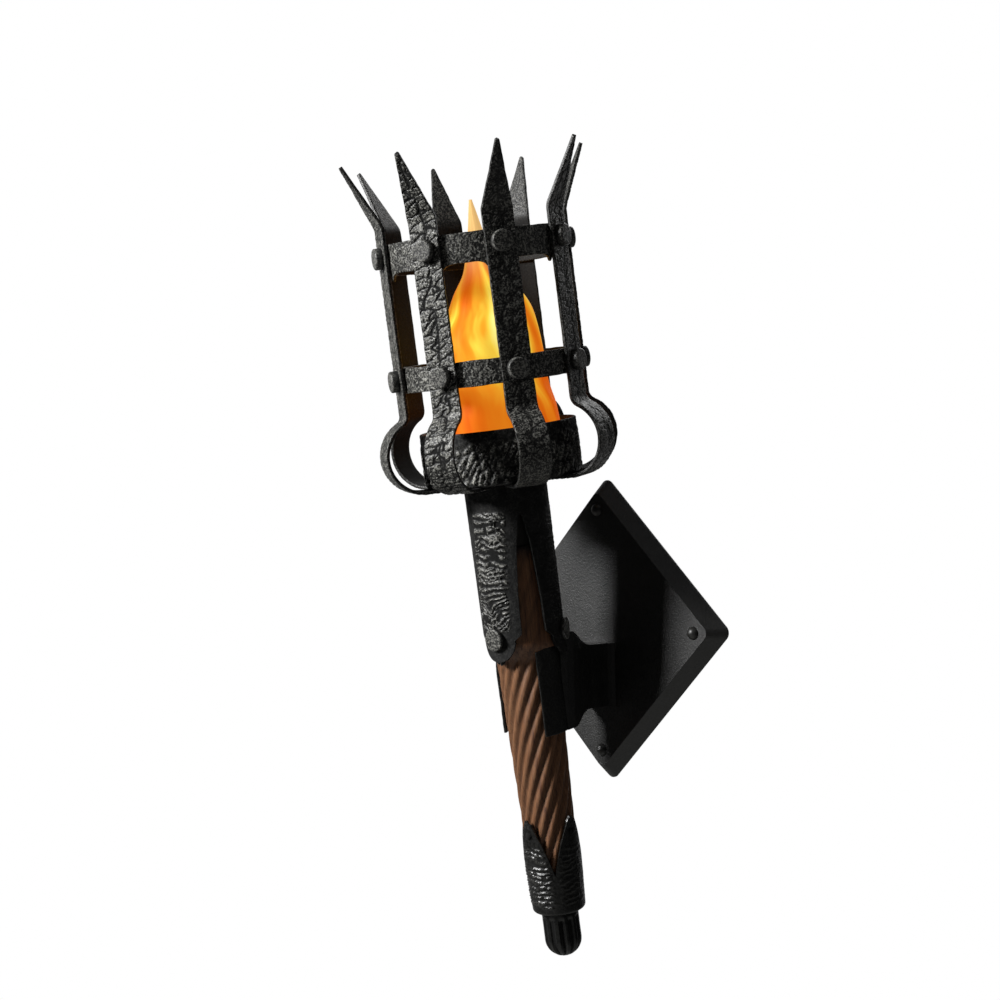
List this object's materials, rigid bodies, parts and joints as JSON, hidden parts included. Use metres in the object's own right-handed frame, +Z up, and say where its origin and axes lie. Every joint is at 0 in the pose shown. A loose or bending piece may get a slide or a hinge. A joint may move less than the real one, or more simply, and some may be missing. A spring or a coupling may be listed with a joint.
{
  "type": "wall torch sconce",
  "caption": "Wall torch sconce: a flame-shaped diffuser in a riveted strap cage with spear tips, on a twisted wood shaft held by a clasp and arm to a diamond wall plate.",
  "frame": {"origin": "centre of the mounting on the wall plane, at the middle of the diamond wall plate", "axes": "+Y into the wall, -Y out into the room, +Z up along the wall, +X to the right when facing the wall"},
  "size_m": [0.2544, 0.262, 0.6678],
  "materials": {
    "powder_coat": "black hammered powder coat on steel sheet, satin, fine grain",
    "zinc_plate": "bright zinc plated steel",
    "ground_green": "green passivated steel screw",
    "blackened_tube": "blackened steel tube",
    "walnut": "brown stained turned wood, satin oil",
    "finial_black": "black painted turned wood, satin",
    "porcelain": "white glazed porcelain",
    "contact_brass": "plain brass",
    "lead_insulation": "black insulated lead wires",
    "opal_glass": "opal white lamp bulb",
    "flame_acrylic": "cast acrylic shell with orange and yellow flame streaks, lit from inside"
  },
  "bodies": {
    "sconce": {"wall_plate": "powder_coat", "mounting_cross": "zinc_plate", "plate_studs": "zinc_plate", "cap_nuts": "powder_coat", "ground_screw": "ground_green", "arm": "powder_coat", "arm_screws": "zinc_plate", "clasp": "powder_coat", "clasp_screws": "zinc_plate", "shaft": "walnut", "sleeve": "powder_coat", "petal_rivets": "powder_coat", "neck_tube": "blackened_tube", "ferrule": "powder_coat", "ferrule_rivets": "powder_coat", "tip_finial": "finial_black", "cup": "powder_coat", "spacer_disc": "zinc_plate", "strap_1": "powder_coat", "strap_2": "powder_coat", "strap_3": "powder_coat", "strap_4": "powder_coat", "strap_5": "powder_coat", "strap_6": "powder_coat", "strap_7": "powder_coat", "strap_8": "powder_coat", "ring_upper": "powder_coat", "ring_lower": "powder_coat", "rivets_upper": "powder_coat", "rivets_lower": "powder_coat", "foot_screws": "zinc_plate", "nipple": "zinc_plate", "nipple_nuts": "zinc_plate", "lampholder": "porcelain", "contact_button": "contact_brass", "leads": "lead_insulation"},
    "diffuser": {"flame_diffuser": "flame_acrylic"},
    "bulb": {"lamp": "opal_glass"}
  },
  "joints": [
    {"name": "flame_lift", "type": "slide", "parent": "sconce", "child": "diffuser", "axis": [0, -0.1521, 0.9884], "range_m": [0, 0.26]},
    {"name": "lamp_out", "type": "slide", "parent": "sconce", "child": "bulb", "axis": [0, -0.1521, 0.9884], "range_m": [0, 0.03]}
  ]
}
